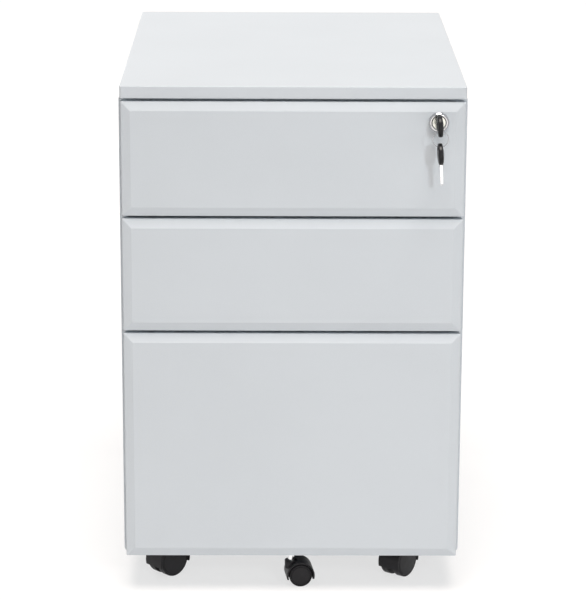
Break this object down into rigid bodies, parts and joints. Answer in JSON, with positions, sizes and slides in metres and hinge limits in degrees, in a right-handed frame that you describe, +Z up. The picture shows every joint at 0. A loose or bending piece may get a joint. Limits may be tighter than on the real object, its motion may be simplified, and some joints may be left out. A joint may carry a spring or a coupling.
{
  "type": "mobile filing cabinet",
  "caption": "Steel under-desk filing cabinet on casters: box drawers above a deep file drawer, bevelled fronts, a key lock and telescopic slides.",
  "frame": {"origin": "on the floor, below the middle of the whole object with the key that stands out in front", "axes": "+X to the right seen from the front, +Y from the drawer fronts to the back, +Z up"},
  "size_m": [0.39, 0.5615, 0.6],
  "materials": {
    "silver_powder_coat": "fine textured silver-grey powder coat",
    "inner_powder_coat": "smooth silver-grey powder coat",
    "zinc_steel": "bright zinc plate",
    "chrome": "polished chrome plate",
    "key_steel": "nickel plated key steel",
    "black_nylon": "moulded black nylon",
    "black_bow_plastic": "moulded black plastic",
    "pen_tray_plastic": "textured black plastic",
    "bumper_rubber": "soft rubber pad"
  },
  "bodies": {
    "carcass": {"left_side_panel": "silver_powder_coat", "right_side_panel": "silver_powder_coat", "back_panel": "silver_powder_coat", "top_panel": "silver_powder_coat", "base_panel": "silver_powder_coat", "front_rail": "silver_powder_coat", "slide_uprights": "zinc_steel", "slide_outer_rails": "zinc_steel", "drawer_bumpers": "bumper_rubber", "lock_bar_guides": "zinc_steel", "caster_stems": "chrome", "caster_nuts": "zinc_steel"},
    "top_drawer": {"top_drawer_front": "silver_powder_coat", "top_drawer_front_liner": "inner_powder_coat", "top_drawer_tray": "inner_powder_coat", "top_drawer_back": "inner_powder_coat", "top_drawer_catch": "zinc_steel", "top_drawer_inner_rails": "zinc_steel", "pen_tray": "pen_tray_plastic", "lock_barrel": "chrome", "lock_nut": "zinc_steel"},
    "top_drawer_middle_rails": {"top_drawer_middle_rails": "zinc_steel"},
    "middle_drawer": {"middle_drawer_front": "silver_powder_coat", "middle_drawer_front_liner": "inner_powder_coat", "middle_drawer_tray": "inner_powder_coat", "middle_drawer_back": "inner_powder_coat", "middle_drawer_catch": "zinc_steel", "middle_drawer_inner_rails": "zinc_steel"},
    "middle_drawer_middle_rails": {"middle_drawer_middle_rails": "zinc_steel"},
    "file_drawer": {"file_drawer_front": "silver_powder_coat", "file_drawer_front_liner": "inner_powder_coat", "file_drawer_tray": "inner_powder_coat", "file_drawer_back": "inner_powder_coat", "file_drawer_catch": "zinc_steel", "file_drawer_inner_rails": "zinc_steel", "hanging_rails": "zinc_steel", "fifth_caster_bracket": "zinc_steel", "fifth_caster_stem": "chrome"},
    "file_drawer_middle_rails": {"file_drawer_middle_rails": "zinc_steel"},
    "lock_cylinder": {"lock_plug": "chrome", "lock_cam": "zinc_steel", "cam_screw": "zinc_steel"},
    "lock_bar": {"lock_bar": "zinc_steel"},
    "key": {"key_blade": "key_steel", "key_bow": "black_bow_plastic"},
    "key_ring": {"key_ring": "chrome"},
    "spare_key": {"spare_key_blade": "key_steel", "spare_key_bow": "black_bow_plastic"},
    "front_left_caster": {"front_left_caster_hood": "black_nylon"},
    "front_left_wheels": {"front_left_caster_wheels": "black_nylon"},
    "front_right_caster": {"front_right_caster_hood": "black_nylon"},
    "front_right_wheels": {"front_right_caster_wheels": "black_nylon"},
    "rear_left_caster": {"rear_left_caster_hood": "black_nylon"},
    "rear_left_wheels": {"rear_left_caster_wheels": "black_nylon"},
    "rear_right_caster": {"rear_right_caster_hood": "black_nylon"},
    "rear_right_wheels": {"rear_right_caster_wheels": "black_nylon"},
    "fifth_caster": {"fifth_caster_hood": "black_nylon"},
    "fifth_wheels": {"fifth_caster_wheels": "black_nylon"}
  },
  "joints": [
    {"name": "top_drawer_slide", "type": "slide", "parent": "carcass", "child": "top_drawer", "axis": [0, -1, 0], "range_m": [0, 0.4]},
    {"name": "top_drawer_rails_slide", "type": "slide", "parent": "carcass", "child": "top_drawer_middle_rails", "axis": [0, -1, 0], "range_m": [0, 0.2]},
    {"name": "middle_drawer_slide", "type": "slide", "parent": "carcass", "child": "middle_drawer", "axis": [0, -1, 0], "range_m": [0, 0.4]},
    {"name": "middle_drawer_rails_slide", "type": "slide", "parent": "carcass", "child": "middle_drawer_middle_rails", "axis": [0, -1, 0], "range_m": [0, 0.2]},
    {"name": "file_drawer_slide", "type": "slide", "parent": "carcass", "child": "file_drawer", "axis": [0, -1, 0], "range_m": [0, 0.4]},
    {"name": "file_drawer_rails_slide", "type": "slide", "parent": "carcass", "child": "file_drawer_middle_rails", "axis": [0, -1, 0], "range_m": [0, 0.2]},
    {"name": "lock_turn", "type": "hinge", "parent": "top_drawer", "child": "lock_cylinder", "pos_m": [0.1619, -0.2429, 0.5606], "axis": [0, -1, 0], "range_deg": [0, 90]},
    {"name": "lock_bar_lift", "type": "slide", "parent": "carcass", "child": "lock_bar", "axis": [0, 0, 1], "range_m": [0, 0.0095]},
    {"name": "key_pull", "type": "slide", "parent": "lock_cylinder", "child": "key", "axis": [0, -1, 0], "range_m": [0, 0.018]},
    {"name": "ring_swing", "type": "hinge", "parent": "key", "child": "key_ring", "pos_m": [0.16211, -0.2722, 0.55711], "axis": [1, 0, 0], "range_deg": [-45, 8]},
    {"name": "spare_key_swing", "type": "hinge", "parent": "key_ring", "child": "spare_key", "pos_m": [0.16211, -0.2722, 0.53801], "axis": [0.9981, 0, 0.061], "range_deg": [-45, 8]},
    {"name": "front_left_swivel", "type": "hinge", "parent": "carcass", "child": "front_left_caster", "pos_m": [-0.1362, -0.1699, 0.0442], "axis": [0, 0, 1], "continuous": true},
    {"name": "front_left_roll", "type": "hinge", "parent": "front_left_caster", "child": "front_left_wheels", "pos_m": [-0.14627, -0.17963, 0.02], "axis": [0.6947, -0.7193, 0], "continuous": true},
    {"name": "front_right_swivel", "type": "hinge", "parent": "carcass", "child": "front_right_caster", "pos_m": [0.1362, -0.1699, 0.0442], "axis": [0, 0, 1], "continuous": true},
    {"name": "front_right_roll", "type": "hinge", "parent": "front_right_caster", "child": "front_right_wheels", "pos_m": [0.12817, -0.18137, 0.02], "axis": [0.8192, -0.5736, 0], "continuous": true},
    {"name": "rear_left_swivel", "type": "hinge", "parent": "carcass", "child": "rear_left_caster", "pos_m": [-0.1362, 0.2151, 0.0442], "axis": [0, 0, 1], "continuous": true},
    {"name": "rear_left_roll", "type": "hinge", "parent": "rear_left_caster", "child": "rear_left_wheels", "pos_m": [-0.14889, 0.20918, 0.02], "axis": [0.4226, -0.9063, 0], "continuous": true},
    {"name": "rear_right_swivel", "type": "hinge", "parent": "carcass", "child": "rear_right_caster", "pos_m": [0.1362, 0.2151, 0.0442], "axis": [0, 0, 1], "continuous": true},
    {"name": "rear_right_roll", "type": "hinge", "parent": "rear_right_caster", "child": "rear_right_wheels", "pos_m": [0.1466, 0.20573, 0.02], "axis": [0.6691, 0.7431, 0], "continuous": true},
    {"name": "fifth_swivel", "type": "hinge", "parent": "file_drawer", "child": "fifth_caster", "pos_m": [0, -0.2119, 0.0295], "axis": [0, 0, 1], "continuous": true},
    {"name": "fifth_roll", "type": "hinge", "parent": "fifth_caster", "child": "fifth_wheels", "pos_m": [0.00992, -0.21068, 0.0135], "axis": [-0.1219, 0.9925, 0], "continuous": true}
  ],
  "couplings": [
    {"joint": "top_drawer_rails_slide", "follows": "top_drawer_slide", "ratio": 0.5},
    {"joint": "middle_drawer_rails_slide", "follows": "middle_drawer_slide", "ratio": 0.5},
    {"joint": "file_drawer_rails_slide", "follows": "file_drawer_slide", "ratio": 0.5},
    {"joint": "lock_turn", "follows": "lock_bar_lift", "rad_per_m": 165.34}
  ]
}
